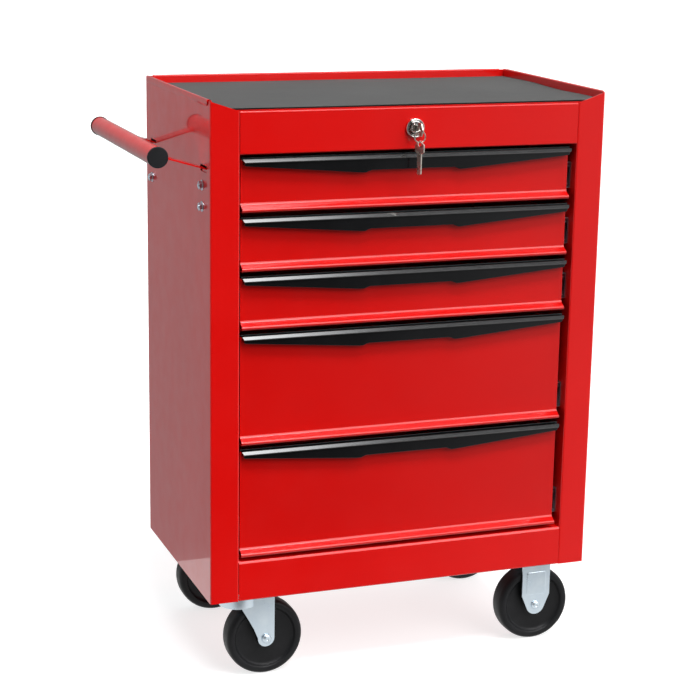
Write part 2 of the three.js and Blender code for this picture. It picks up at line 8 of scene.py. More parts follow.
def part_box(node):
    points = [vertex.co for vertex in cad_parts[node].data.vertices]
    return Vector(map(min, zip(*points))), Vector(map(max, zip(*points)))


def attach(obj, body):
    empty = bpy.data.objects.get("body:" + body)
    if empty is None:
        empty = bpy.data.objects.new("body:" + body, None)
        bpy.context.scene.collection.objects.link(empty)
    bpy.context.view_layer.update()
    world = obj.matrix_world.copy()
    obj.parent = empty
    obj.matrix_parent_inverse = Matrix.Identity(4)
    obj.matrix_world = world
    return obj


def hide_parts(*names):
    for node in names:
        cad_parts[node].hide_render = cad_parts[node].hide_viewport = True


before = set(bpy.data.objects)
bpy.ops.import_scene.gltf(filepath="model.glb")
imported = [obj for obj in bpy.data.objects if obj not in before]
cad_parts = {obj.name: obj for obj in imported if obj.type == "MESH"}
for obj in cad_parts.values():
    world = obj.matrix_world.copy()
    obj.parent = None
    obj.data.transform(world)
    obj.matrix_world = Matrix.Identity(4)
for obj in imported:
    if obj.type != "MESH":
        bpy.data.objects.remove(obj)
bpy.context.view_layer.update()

# A five-drawer roller tool cabinet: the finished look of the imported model's parts.
# Lengths are in millimetres along the frame's axes unless a name says otherwise; MM turns them into metres.
MM = 0.001
SHEET = 1.2  # gauge of the folded steel
BEND = 0.8  # inner radius of a sheet's bends


class Box:
    """The box of a CAD node at rest, in millimetres."""

    def __init__(self, node):
        low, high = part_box(node)
        self.x0, self.y0, self.z0 = low / MM
        self.x1, self.y1, self.z1 = high / MM
        self.x, self.y, self.z = (low + high) / 2 / MM


left_side = Box("left_side_panel")
right_side = Box("right_side_panel")
top_rail_box = Box("top_rail")
bottom_rail_box = Box("bottom_rail")
tray_box = Box("top_tray")
mat_box = Box("top_mat")
lock_box = Box("lock_housing")
tube_box = Box("handle_tube")

MIDDLE_X = top_rail_box.x  # the cabinet's middle plane
FRONT_Y = left_side.y0  # front plane of the stiles
REAR_Y = left_side.y1
DRAWERS = range(1, 6)
CORNERS = ("front_left", "rear_left", "front_right", "rear_right")


# ---------------------------------------------------------------- outlines
def turn_points(centre, radius, start, end, steps):
    """Points along a circle's arc. Angles are in degrees."""
    angles = [math.radians(start + (end - start) * k / steps) for k in range(steps + 1)]
    return [Vector((centre[0] + radius * math.cos(a), centre[1] + radius * math.sin(a))) for a in angles]


def rounded(points, radius, steps=5):
    """The outline with each corner turned into an arc. radius is one number, or one for each corner."""
    count = len(points)
    radii = radius if isinstance(radius, (list, tuple)) else [radius] * count
    result = []
    for i, point in enumerate(points):
        corner = Vector(point)
        if radii[i] <= 0:
            result.append(corner)
            continue
        before = Vector(points[i - 1]) - corner
        after = Vector(points[(i + 1) % count]) - corner
        half_angle = before.angle(after) / 2
        reach = min(radii[i] / math.tan(half_angle), 0.48 * before.length, 0.48 * after.length)
        arc_radius = reach * math.tan(half_angle)
        middle = (before.normalized() + after.normalized()).normalized()
        centre = corner + middle * (arc_radius / math.sin(half_angle))
        start = corner + before.normalized() * reach - centre
        end = corner + after.normalized() * reach - centre
        sweep = start.angle_signed(end)
        for k in range(steps + 1):
            turned = start.copy()
            turned.rotate(Matrix.Rotation(-sweep * k / steps, 2))
            result.append(centre + turned)
    return result


def folded(line, gauge, bend=BEND):
    """Closed outline of a folded sheet: one face's line and its copy offset by the gauge, to the left of
    travel when the gauge is positive. Each bend has one centre, with the radius bend on its inside and
    bend + gauge on its outside."""
    points = [Vector(p) for p in line]
    runs = [(b - a).normalized() for a, b in zip(points, points[1:])]
    offset = []
    radii = []
    offset_radii = []
    for i, point in enumerate(points):
        into = runs[max(i - 1, 0)]
        out = runs[min(i, len(runs) - 1)]
        left = Vector((-into.y - out.y, into.x + out.x)).normalized()
        offset.append(point + left * (gauge / (left.x * -into.y + left.y * into.x)))
        turns_left = into.x * out.y - into.y * out.x > 0
        line_outside = turns_left == (gauge > 0)
        at_end = i in (0, len(points) - 1)
        radii.append(0 if at_end else bend + abs(gauge) * line_outside)
        offset_radii.append(0 if at_end else bend + abs(gauge) * (not line_outside))
    return rounded(points + offset[::-1], radii + offset_radii[::-1])


def regular_polygon(sides, radius):
    return turn_points((0, 0), radius, 0, 360 * (sides - 1) / sides, sides - 1)


# ---------------------------------------------------------------- solids, as bmeshes in millimetres
def place(axis, point, along):
    """A point of an outline, put into space: the outline is (y, z), (x, z) or (x, y) for axis x, y or z."""
    a, b = point
    if axis == "x":
        return Vector((along, a, b))
    if axis == "y":
        return Vector((a, along, b))
    return Vector((a, b, along))


def loft(rings, closed=True):
    """Solid through rings of as many points each. An unclosed one is capped at both ends."""
    bm = bmesh.new()
    made = [[bm.verts.new(point) for point in ring] for ring in rings]
    count = len(rings[0])
    pairs = list(zip(made, made[1:] + made[:1])) if closed else list(zip(made, made[1:]))
    for one, other in pairs:
        for i in range(count):
            j = (i + 1) % count
            bm.faces.new((one[i], one[j], other[j], other[i]))
    if not closed:
        bm.faces.new(made[0])
        bm.faces.new(made[-1][::-1])
    bmesh.ops.recalc_face_normals(bm, faces=bm.faces)
    return bm


def prism(outline, axis, low, high):
    return loft([[place(axis, p, at) for p in outline] for at in (low, high)], closed=False)


def block(x0, x1, y0, y1, z0, z1):
    return prism([(x0, y0), (x1, y0), (x1, y1), (x0, y1)], "z", z0, z1)


def turned(profile, axis, centre, segments=64):
    """Solid of revolution. The profile is a list of (radius, place along the axis) that starts and ends on
    the axis, or closes on itself. centre is the two other coordinates."""
    bm = bmesh.new()
    angles = [2 * math.pi * k / segments for k in range(segments)]
    rings = []
    for radius, along in profile:
        if radius < 1e-6:
            rings.append([bm.verts.new(place(axis, centre, along))])
            continue
        circle = [(centre[0] + radius * math.cos(a), centre[1] + radius * math.sin(a)) for a in angles]
        rings.append([bm.verts.new(place(axis, p, along)) for p in circle])
    on_axis = len(rings[0]) == 1
    for one, other in zip(rings, rings[1:] if on_axis else rings[1:] + rings[:1]):
        for i in range(segments):
            j = (i + 1) % segments
            if len(one) == 1:
                bm.faces.new((one[0], other[i], other[j]))
            elif len(other) == 1:
                bm.faces.new((one[j], one[i], other[0]))
            else:
                bm.faces.new((one[i], one[j], other[j], other[i]))
    bmesh.ops.recalc_face_normals(bm, faces=bm.faces)
    return bm


def merged(parts):
    """Several bmeshes as one, their solids left separate."""
    whole = parts[0]
    for part in parts[1:]:
        mesh = bpy.data.meshes.new("merged")
        part.to_mesh(mesh)
        part.free()
        whole.from_mesh(mesh)
        bpy.data.meshes.remove(mesh)
    return whole


def moved(bm, matrix):
    bmesh.ops.transform(bm, matrix=matrix, verts=bm.verts)
    return bm


def rounded_edges(bm, width, angle=40, segments=2):
    """The same solid with its edges sharper than the angle bevelled."""
    sharp = [e for e in bm.edges if e.is_manifold and e.calc_face_angle(0) > math.radians(angle)]
    look = {"segments": segments, "profile": 0.5, "affect": "EDGES", "clamp_overlap": True}
    bmesh.ops.bevel(bm, geom=sharp, offset=width, **look)
    return bm


def as_object(bm, name):
    mesh = bpy.data.meshes.new(name)
    bm.to_mesh(mesh)
    bm.free()
    obj = bpy.data.objects.new(name, mesh)
    bpy.context.scene.collection.objects.link(obj)
    return obj


def combined(bm, operation, tools):
    """The bmesh after an exact boolean with each tool: DIFFERENCE, UNION or INTERSECT."""
    body = as_object(bm, "body")
    helpers = [as_object(tool, "tool") for tool in tools]
    for helper in helpers:
        modifier = body.modifiers.new("boolean", "BOOLEAN")
        modifier.operation = operation
        modifier.solver = "EXACT"
        modifier.object = helper
    evaluated = body.evaluated_get(bpy.context.evaluated_depsgraph_get())
    result = bmesh.new()
    result.from_mesh(evaluated.to_mesh())
    bmesh.ops.remove_doubles(result, verts=result.verts, dist=1e-4)
    bmesh.ops.dissolve_degenerate(result, edges=result.edges, dist=1e-4)
    for obj in [body, *helpers]:
        mesh = obj.data
        bpy.data.objects.remove(obj)
        bpy.data.meshes.remove(mesh)
    return result


# ---------------------------------------------------------------- pieces
def smoothed(obj, angle):
    """Smooth shading that breaks at sharp edges and keeps flat faces flat."""
    obj.data.shade_smooth()
    obj.data.set_sharp_from_angle(angle=math.radians(angle))
    normals = obj.modifiers.new("weighted_normals", "WEIGHTED_NORMAL")
    normals.keep_sharp = True
    normals.weight = 100


def piece(name, bm, finish, body, replaces=(), angle=35):
    """A finished piece: finish is (material, the record's slot), and the slot is not used; body is what it
    moves with.
    """
    bmesh.ops.transform(bm, matrix=Matrix.Scale(MM, 4), verts=bm.verts)
    obj = as_object(bm, name)
    material, slot = finish
    obj.data.materials.append(material)
    smoothed(obj, angle)
    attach(obj, body)
    if replaces:
        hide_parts(*replaces)
    return obj


def dress(node, finish, edge=0.25):
    """A CAD node that stays: its flat facets are joined, its edges softened, and it gets its finish."""
    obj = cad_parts[node]
    planar = obj.modifiers.new("joined_facets", "DECIMATE")
    planar.decimate_type = "DISSOLVE"
    planar.angle_limit = math.radians(1)
    bevel = obj.modifiers.new("soft_edges", "BEVEL")
    bevel.width = edge * MM
    bevel.segments = 2
    bevel.limit_method = "ANGLE"
    bevel.angle_limit = math.radians(40)
    material = finish[0]
    for slot in obj.material_slots:
        slot.material = material


# ---------------------------------------------------------------- materials
class Shader:
    """A material being made: its Principled shader, object coordinates and the nodes that feed it."""

    def __init__(self, name, **settings):
        self.material = bpy.data.materials.new(name)
        self.material.use_nodes = True
        self.tree = self.material.node_tree
        self.shader = self.tree.nodes["Principled BSDF"]
        for key, value in settings.items():
            self.shader.inputs[key.replace("_", " ")].default_value = value
        self.where = self.tree.nodes.new("ShaderNodeTexCoord").outputs["Object"]
        self.bumps = None

    def node(self, kind, **inputs):
        made = self.tree.nodes.new(kind)
        for key, value in inputs.items():
            socket = made.inputs[key.replace("_", " ")]
            if isinstance(value, bpy.types.NodeSocket):
                self.tree.links.new(value, socket)
            else:
                socket.default_value = value
        return made

    def stretched(self, x, y, z):
        """The coordinates scaled along each axis, for streaks and grain."""
        return self.node("ShaderNodeMapping", Vector=self.where, Scale=(x, y, z)).outputs["Vector"]

    def noise(self, per_metre, detail=2.0, roughness=0.5, where=None):
        inputs = {"Vector": where or self.where, "Scale": per_metre, "Detail": detail, "Roughness": roughness}
        return self.node("ShaderNodeTexNoise", **inputs).outputs["Fac"]

    def cells(self, per_metre):
        return self.node("ShaderNodeTexVoronoi", Vector=self.where, Scale=per_metre).outputs["Distance"]

    def spread(self, value, low, high, from_low=0.3, from_high=0.7):
        """value, stretched from one range to another."""
        limits = {"From_Min": from_low, "From_Max": from_high, "To_Min": low, "To_Max": high}
        return self.node("ShaderNodeMapRange", Value=value, **limits).outputs["Result"]

    def mixed(self, share, one, other):
        """Colour between two colours."""
        made = self.tree.nodes.new("ShaderNodeMix")
        made.data_type = "RGBA"
        for key, value in (("Factor", share), ("A", one), ("B", other)):
            socket = next(s for s in made.inputs if s.name == key and s.enabled)
            if isinstance(value, bpy.types.NodeSocket):
                self.tree.links.new(value, socket)
            else:
                socket.default_value = value
        return next(s for s in made.outputs if s.enabled)

    def set(self, key, value):
        self.tree.links.new(value, self.shader.inputs[key])

    def mottle(self, patches, one, other):
        """Base colour that drifts between two with the patches."""
        self.set("Base Color", self.mixed(self.spread(patches, 0, 1), one, other))

    def bump(self, height, depth, strength=1.0):
        """Relief of that depth in millimetres, on top of the relief already there."""
        inputs = {"Height": height, "Strength": strength, "Distance": depth * MM}
        if self.bumps:
            inputs["Normal"] = self.bumps
        self.bumps = self.node("ShaderNodeBump", **inputs).outputs["Normal"]
        self.tree.links.new(self.bumps, self.shader.inputs["Normal"])


def grey(value, blue=1.0):
    return (value, value, value * blue, 1.0)


# the paint's two drifting tones and its darker flecks
RED_TONES = [(0.80, 0.0042, 0.0032), (0.86, 0.006, 0.0045), (0.74, 0.004, 0.003)]


def red_paint(name, depth):
    """Glossy red. depth scales the red, so less than 1 is darker."""
    paint = Shader(name, Coat_Weight=1.0, Coat_Roughness=0.045, Coat_IOR=1.5, Specular_IOR_Level=0.12)
    clouds, flecks = paint.noise(5, detail=3), paint.noise(900, detail=2)
    tones = [(red * depth, green, blue, 1) for red, green, blue in RED_TONES]
    base = paint.mixed(paint.spread(clouds, 0, 1), tones[0], tones[1])
    paint.set("Base Color", paint.mixed(paint.spread(flecks, 0, 0.25), base, tones[2]))
    paint.set("Roughness", paint.spread(paint.noise(30, detail=4), 0.28, 0.4))
    paint.bump(paint.noise(260, detail=1), 0.02, 0.3)
    paint.bump(paint.noise(3.5, detail=0), 1.2, 0.25)
    return paint.material


def black_plastic():
    plastic = Shader("black_moulded_plastic", Coat_Weight=1.0, Coat_Roughness=0.04, Specular_IOR_Level=0.2)
    plastic.mottle(plastic.noise(14, detail=3), grey(0.0045, 1.12), grey(0.0075, 1.12))
    plastic.set("Roughness", plastic.spread(plastic.noise(60, detail=4), 0.16, 0.26))
    plastic.bump(plastic.noise(1800, detail=1), 0.004, 0.2)
    return plastic.material


def cap_plastic():
    """The same black, but dull."""
    plastic = Shader("black_cap_plastic", Specular_IOR_Level=0.2)
    plastic.mottle(plastic.noise(40, detail=3), grey(0.012, 1.12), grey(0.017, 1.12))
    plastic.set("Roughness", plastic.spread(plastic.noise(90, detail=4), 0.55, 0.7))
    plastic.bump(plastic.noise(1600, detail=2), 0.02, 0.4)
    return plastic.material


def wheel_plastic():
    plastic = Shader("wheel_polypropylene", Specular_IOR_Level=0.22)
    plastic.mottle(plastic.noise(45, detail=4), grey(0.0075, 1.1), grey(0.0125, 1.1))
    plastic.set("Roughness", plastic.spread(plastic.noise(120, detail=4), 0.38, 0.52))
    plastic.bump(plastic.noise(1500, detail=2), 0.015, 0.4)
    return plastic.material


def mat_rubber():
    """Grey on its upper face, near black on the faces that turn from straight up: its edges and underside."""
    rubber = Shader("mat_rubber", Specular_IOR_Level=0.2)
    patches = rubber.noise(11, detail=5, roughness=0.6)
    grain = rubber.noise(700, detail=2)
    base = rubber.mixed(rubber.spread(patches, 0, 1), grey(0.072, 0.97), grey(0.1, 0.97))
    upper = rubber.mixed(rubber.spread(grain, 0, 0.35), base, grey(0.045))
    # the colour goes near black as the face's normal turns from straight up
    geometry = rubber.node("ShaderNodeNewGeometry")
    upward = rubber.node("ShaderNodeSeparateXYZ", Vector=geometry.outputs["Normal"]).outputs["Z"]
    rubber.set("Base Color", rubber.mixed(rubber.spread(upward, 0, 1, 0.5, 0.85), grey(0.012), upper))
    rubber.set("Roughness", rubber.spread(patches, 0.62, 0.8))
    rubber.bump(rubber.cells(650), 0.12, 0.5)
    rubber.bump(rubber.noise(9, detail=2), 0.8, 0.3)
    return rubber.material


def zinc_plate():
    """Bluish and faintly streaked."""
    zinc = Shader("bright_zinc", Metallic=1.0)
    clouds = zinc.noise(55, detail=4, roughness=0.6)
    zinc.mottle(clouds, (0.64, 0.74, 0.82, 1), (0.75, 0.84, 0.9, 1))
    zinc.set("Roughness", zinc.spread(clouds, 0.26, 0.42))
    zinc.bump(zinc.noise(1, detail=3, where=zinc.stretched(900, 900, 45)), 0.01, 0.3)
    zinc.bump(zinc.noise(90, detail=2), 0.06, 0.25)
    return zinc.material


def chrome_plate():
    chrome = Shader("nickel_chrome", Metallic=1.0)
    spots = chrome.noise(300, detail=3)
    chrome.mottle(spots, (0.70, 0.69, 0.66, 1), (0.80, 0.80, 0.78, 1))
    chrome.set("Roughness", chrome.spread(spots, 0.07, 0.16))
    chrome.bump(chrome.noise(1, detail=2, where=chrome.stretched(400, 3000, 3000)), 0.01, 0.2)
    return chrome.material


def key_nickel():
    """Worn nickel with a warm tinge."""
    nickel = Shader("key_nickel", Metallic=1.0)
    wear = nickel.noise(220, detail=5, roughness=0.65)
    nickel.mottle(wear, (0.52, 0.46, 0.38, 1), (0.74, 0.70, 0.64, 1))
    nickel.set("Roughness", nickel.spread(wear, 0.2, 0.42))
    nickel.bump(nickel.noise(1, detail=2, where=nickel.stretched(3000, 3000, 300)), 0.01, 0.3)
    return nickel.material


RED = (red_paint("red_powder_coat", 1.0), "red_paint")
# the drawer fronts get the body's red at 0.88: painted shade, standing for the shade that the pulls and the
# recess cast on them
SHADED_DRAWER_RED = (red_paint("drawer_coat_painted_shade", 0.88), "red_paint")
BLACK = (black_plastic(), "black_plastic")
RUBBER = (mat_rubber(), "rubber_mat")
ZINC = (zinc_plate(), "zinc_plate")
CHROME = (chrome_plate(), "chrome_plate")
NICKEL = (key_nickel(), "chrome_plate")
CAP = (cap_plastic(), "black_plastic")
WHEEL = (wheel_plastic(), "wheel_black")


# ---------------------------------------------------------------- body shell
RETURN = 22  # the stile's inner flange
REAR_FLANGE = 18
RAIL_TOP = top_rail_box.z1
SLOT_CLEAR = 2  # room round the handle bracket in its slot
SLOT_LOW, SLOT_HIGH = tube_box.z - 26, tube_box.z - 17
BOLT_HOLE = 3.3


def bracket_box(end):
    return Box(f"handle_bracket_{end}")


def bracket_bolt_places():
    """(y, z) of the two bolts that hold each handle bracket."""
    places = []
    for end in ("front", "rear"):
        box = bracket_box(end)
        places += [(box.y + 6, box.z0 + 12), (box.y + 6, box.z0 + 40)]
    return places


def side_panel(side):
    box = left_side if side < 0 else right_side
    outer, inner = (box.x0, box.x1) if side < 0 else (box.x1, box.x0)
    line = [(outer - side * REAR_FLANGE, REAR_Y), (outer, REAR_Y), (outer, FRONT_Y)]
    line += [(inner, FRONT_Y), (inner, FRONT_Y + RETURN)]
    panel = prism(folded(line, side * -SHEET, bend=1.0), "z", box.z0, box.z1)
    low_x, high_x = sorted((inner - side, outer - side * SHEET))
    slope = [(outer + side, box.z1), (outer, box.z1), (inner, RAIL_TOP), (inner - side * 5, RAIL_TOP)]
    slope += [(inner - side * 5, box.z1 + 5), (outer + side, box.z1 + 5)]
    cutters = [
        prism(slope, "y", FRONT_Y - 1, FRONT_Y + RETURN + 1),
        block(low_x, high_x, FRONT_Y + SHEET, FRONT_Y + RETURN + 1, RAIL_TOP - 12, box.z1 + 5),
        block(low_x, high_x, FRONT_Y + SHEET, FRONT_Y + RETURN + 1, box.z0 - 1, box.z0 + 11.5),
    ]
    if side < 0:
        cutters += handle_cutters(outer)
    return rounded_edges(combined(panel, "DIFFERENCE", cutters), 0.25)


def handle_cutters(face):
    cutters = []
    for end in ("front", "rear"):
        box = bracket_box(end)
        y0, y1 = box.y0 - SLOT_CLEAR, box.y1 + SLOT_CLEAR
        slot = [(y0, SLOT_LOW), (y1, SLOT_LOW), (y1, SLOT_HIGH), (y0, SLOT_HIGH)]
        cutters.append(prism(rounded(slot, 2.0), "x", face - 1, face + 2))
    for y, z in bracket_bolt_places():
        cutters.append(prism(turn_points((y, z), BOLT_HOLE, 0, 345, 23), "x", face - 1, face + 5))
    return cutters


SEAM = 0.18  # the rails close most of the gap to the stiles


def top_rail():
    box = top_rail_box
    line = [(FRONT_Y + 12, box.z0), (FRONT_Y, box.z0), (FRONT_Y, box.z1)]
    line += [(FRONT_Y + 20, box.z1), (FRONT_Y + 20, box.z1 - 9)]
    rail = prism(folded(line, -SHEET), "x", box.x0 - SEAM, box.x1 + SEAM)
    hole = prism(turn_points((lock_box.x, lock_box.z), 9.8, 0, 352.5, 47), "y", FRONT_Y - 1, FRONT_Y + 5)
    return rounded_edges(combined(rail, "DIFFERENCE", [hole]), 0.2)


def bottom_rail():
    box = bottom_rail_box
    line = [(FRONT_Y + 8, box.z0), (FRONT_Y, box.z0), (FRONT_Y, box.z1 - 3), (FRONT_Y + 2.4, box.z1)]
    line += [(FRONT_Y + 24, box.z1), (FRONT_Y + 24, box.z1 - 9)]
    return rounded_edges(prism(folded(line, -SHEET), "x", box.x0 - SEAM, box.x1 + SEAM), 0.2)


HEM = 9  # height of the folded band outside the tray's lips


def top_tray():
    """The tray's floor between two lips with slightly bulged hems, and a hemmed lip along the rear."""
    box = tray_box
    floor = RAIL_TOP + 0.3
    low = box.z1 - HEM
    inset = box.x1 - right_side.x1 + SHEET + 0.3 + SHEET
    inner0, inner1 = box.x0 + inset, box.x1 - inset
    bulge = [(0.55 * (k / 4 - 1) ** 2, low + HEM * k / 8) for k in range(8)] + [(0.5, box.z1)]
    across = [(box.x0 + d, z) for d, z in bulge]
    across += [(inner0, box.z1), (inner0, floor + SHEET), (inner1, floor + SHEET), (inner1, box.z1)]
    across += [(box.x1 - d, z) for d, z in bulge[::-1]]
    pan = prism(folded(across, -SHEET, bend=0.7), "y", FRONT_Y + 2, REAR_Y - 3)
    trims = []
    for inner, face in ((inner0 - SHEET, box.x0 - 1), (inner1 + SHEET, box.x1 + 1)):
        for start, end, turn in ((FRONT_Y, FRONT_Y + 9, 1), (REAR_Y, REAR_Y - 12, -1)):
            corner = turn_points((end + turn * 6.5, low + 6.5), 6.5, 270, 270 - turn * 90, 8)
            below = [(start, low - 5), (end + turn * 6.5, low - 5)]
            outline = [*below, *corner, (end, box.z1 + 1), (start, box.z1 + 1)]
            trims.append(prism(outline, "x", *sorted((inner, face))))
    rear_in = REAR_Y - 4 * SHEET
    rear_line = [(REAR_Y, low), (REAR_Y, box.z1), (rear_in, box.z1), (rear_in, floor)]
    rear_half = right_side.x1 - MIDDLE_X - 10
    rear = prism(folded(rear_line, SHEET, bend=0.7), "x", MIDDLE_X - rear_half, MIDDLE_X + rear_half)
    rooms = []
    for side in (-1, 1):
        ends = sorted((MIDDLE_X + side * (rear_half + 10), MIDDLE_X + side * (rear_half - 8.5)))
        rooms.append(block(*ends, REAR_Y - 1.5, REAR_Y + 1, low - 1, left_side.z1 + 0.3))
    tray = combined(combined(pan, "DIFFERENCE", trims), "UNION", [combined(rear, "DIFFERENCE", rooms)])
    return rounded_edges(tray, 0.2)


def top_mat():
    """Rubber mat with soft edges, which lifts off the tray a little along its right-hand edge."""
    box = mat_box
    bm = bmesh.new()
    bmesh.ops.create_grid(bm, x_segments=110, y_segments=64, size=0.5)
    for vert in bm.verts:
        u, v = vert.co.x + 0.5, vert.co.y + 0.5
        x = box.x0 + u * (box.x1 - box.x0)
        y = box.y0 + v * (box.y1 - box.y0)
        border = min(x - box.x0, box.x1 - x, y - box.y0, box.y1 - y)
        edge_drop = 0.6 * math.exp(-border / 1.2)
        ripple = 0.15 * (1 + math.sin(x / 41 + 0.7) * math.cos(y / 57))
        along_edge = 0.9 * (1 + math.sin(v * 9.0 + 1.2)) * math.sin(math.pi * v) ** 0.5
        curl = math.exp(-(box.x1 - x) / 14) * along_edge
        vert.co = (x, y, box.z1 - edge_drop - ripple + curl)
    skin = bmesh.ops.extrude_face_region(bm, geom=bm.faces[:])
    for vert in (g for g in skin["geom"] if isinstance(g, bmesh.types.BMVert)):
        vert.co.z -= box.z1 - box.z0 - 0.9
    bmesh.ops.recalc_face_normals(bm, faces=bm.faces)
    return bm


def make_body():
    for name, bm, node in (
        ("side_sheet_left", side_panel(-1), "left_side_panel"),
        ("side_sheet_right", side_panel(1), "right_side_panel"),
        ("top_rail_sheet", top_rail(), "top_rail"),
        ("bottom_rail_sheet", bottom_rail(), "bottom_rail"),
        ("tray_sheet", top_tray(), "top_tray"),
    ):
        piece(name, bm, RED, "cabinet", [node])
    piece("tray_mat", top_mat(), RUBBER, "cabinet", ["top_mat"])
    dress("back_panel", RED)
    dress("bottom_panel", RED)
    dress("left_slide_rack", ZINC, 0.15)
    dress("right_slide_rack", ZINC, 0.15)


# ---------------------------------------------------------------- drawers
CREASE = 11.5  # where the flat face ends, above the lip
LIP_RADIUS = 2.9
FRONT_GAUGE = 0.96
DRAWER_FACE_Y = FRONT_Y + 8


def drawer_front(number):
    """Sheet whose flat face creases, flares out and rolls under into a round lip."""
    box = Box(f"drawer_{number}_front")
    face = DRAWER_FACE_Y
    lip_y = box.y0 + LIP_RADIUS
    flare = [(0, CREASE + 1.2), (0.25, CREASE - 0.3), (1.1, 9.6), (2.4, 8.6)]
    flare = [(face - out, box.z0 + up) for out, up in flare]
    lip = turn_points((lip_y, box.z0 + LIP_RADIUS), LIP_RADIUS, 120, 270, 14)
    points = [Vector(p) for p in ((face, box.z1), *flare, *lip, (FRONT_Y + 13, box.z0))]
    inner = []
    for i, point in enumerate(points):
        run = (points[min(i + 1, len(points) - 1)] - points[max(i - 1, 0)]).normalized()
        inner.append(point + Vector((-run.y, run.x)) * FRONT_GAUGE)
    return rounded_edges(prism(points + inner[::-1], "x", box.x0, box.x1), 0.2, angle=55)


BAND = 6.2  # height of the pull's band
END_SLANT = 3.0
WING_DEPTH = 24  # below the pull's top, at its lowest


def band_section(top, back):
    """(y, z) outline of the band: a sloping glossy front with a finger groove behind it."""
    front = FRONT_Y - 2.6
    groove = top - 5.0
    outline = [(back, top - BAND), (back, top), (back - 1.4, top), (back - 1.8, groove)]
    outline += [(FRONT_Y + 2.2, groove), (FRONT_Y + 1.9, top - 1.5), (FRONT_Y + 0.9, top - 1.3)]
    outline += [(front, top - BAND + 0.9), (front + 0.6, top - BAND)]
    return rounded(outline, [0, 0.3, 0.3, 1.0, 1.0, 0.4, 0.6, 0.5, 0.3], steps=4)


def drawer_pull(number):
    box, face = Box(f"drawer_{number}_pull"), Box(f"drawer_{number}_front")
    top, back = box.z1, box.y1
    section = band_section(top, back)
    rings = []
    for end, inward in ((box.x0, 1), (box.x1, -1)):
        rings.append([Vector((end + inward * END_SLANT * (top - z) / BAND, y, z)) for y, z in section])
    band = rounded_edges(loft(rings, closed=False), 0.4, angle=50, segments=3)
    wing = []
    for end, inward in ((face.x0 + 3, 1), (face.x1 - 1, -1)):
        half = [(end, -4), (end, -9.3), (end + inward * 2.5, -10.6)]
        half += [(MIDDLE_X - inward * 72, -WING_DEPTH), (MIDDLE_X - inward * 67, -WING_DEPTH)]
        half.append((MIDDLE_X - inward * 59, 3 - WING_DEPTH))
        wing += half[::inward]
    wing = rounded([(x, top + z) for x, z in wing], [0, 1, 3, 3, 3, 6, 6, 3, 3, 3, 1, 0])
    plate = prism(wing, "y", FRONT_Y - 0.6, DRAWER_FACE_Y - 0.3)
    plate = rounded_edges(plate, 0.7, angle=50, segments=3)
    return combined(band, "UNION", [plate])


def make_drawers():
    for number in DRAWERS:
        name = f"drawer_{number}"
        piece(f"{name}_face", drawer_front(number), SHADED_DRAWER_RED, name, [f"{name}_front"])
        piece(f"{name}_grip", drawer_pull(number), BLACK, name, [f"{name}_pull"])
        dress(f"{name}_tray", RED, 0.2)
        for side in ("left", "right"):
            dress(f"{name}_slide_{side}", ZINC, 0.15)


# ---------------------------------------------------------------- lock and keys
PLUG_RADIUS = 6.4


def lock_housing():
    """Turned bezel with a rolled rim, a dished ring and a raised lip round the plug."""
    front, back = lock_box.y0, lock_box.y1
    rim = turn_points((11.5, 1.6), 1.2, 200, -10, 10)
    profile = [
        (PLUG_RADIUS + 0.3, front),
        *[(r, front + d) for r, d in ((8.6, 0.0), (9.4, 0.35), (9.7, 1.0), (9.9, 1.7))],
        *[(p.x, FRONT_Y - 1.6 - p.y) for p in rim],
        (12.7, FRONT_Y - 0.3),
        (9.5, FRONT_Y - 0.3),
        (9.5, back),
        (PLUG_RADIUS + 0.3, back),
    ]
    return turned(profile, "y", (lock_box.x, lock_box.z), 96)


def lock_plug():
    box = Box("lock_plug")
    y0, y1 = box.y0, box.y1
    dish = [(0, y0 + 0.5), (4.2, y0 + 0.5), (4.8, y0), (PLUG_RADIUS - 0.4, y0)]
    profile = [*dish, (PLUG_RADIUS, y0 + 0.4), (PLUG_RADIUS, y1), (0, y1)]
    plug = turned(profile, "y", (lock_box.x, lock_box.z), 64)
    x, z = lock_box.x, lock_box.z
    return combined(plug, "DIFFERENCE", [block(x - 1.3, x + 1.3, y0 - 3, FRONT_Y + 17, z - 4, z + 4)])


BOW = 10.0
KEY_GAUGE = 2.0
KEY_HOLE = 3.1
BLADE_HALF = 3.7


def key_solid(blade_end, hole_offset):
    """Flat key in its own (u, v, w) axes: the bow's hole at the origin, the blade along u, w through it."""
    half = KEY_GAUGE / 2
    middle = Vector((hole_offset, 0))
    bow_outline = rounded([middle + p for p in regular_polygon(6, BOW)], 1.6)
    bow = rounded_edges(prism(bow_outline, "z", -half, half), 0.25)
    recess_outline = rounded([middle + p for p in regular_polygon(6, BOW - 2.4)], 1.2)
    recesses = [prism(recess_outline, "z", low, low + 1) for low in (half - 0.35, -half - 0.65)]
    hole = prism(turn_points((0, 0), KEY_HOLE, 0, 348.75, 31), "z", -3, 3)
    root = hole_offset + BOW - 3
    span = blade_end - root
    teeth = []
    for i, share in enumerate((0.85, 0.75, 0.65, 0.55)):
        at = root + span * share
        depth = 1.0 if i % 2 else 1.6
        teeth += [(at + 1, BLADE_HALF), (at, BLADE_HALF - depth), (at - 1, BLADE_HALF)]
    tip = [(blade_end - 2, -BLADE_HALF), (blade_end, 0), (blade_end - 2, BLADE_HALF)]
    blade = prism([(root, -BLADE_HALF), *tip, *teeth, (root, BLADE_HALF)], "z", -half, half)
    grooves = []
    for v, w in ((-1.9, half - 0.5), (0.5, -half - 0.5)):
        grooves.append(block(root + 2, blade_end + 1, v, v + 1.4, w, w + 1))
    shaped = combined(combined(bow, "UNION", [blade]), "DIFFERENCE", [*recesses, hole, *grooves])
    return rounded_edges(shaped, 0.12, angle=50, segments=1)


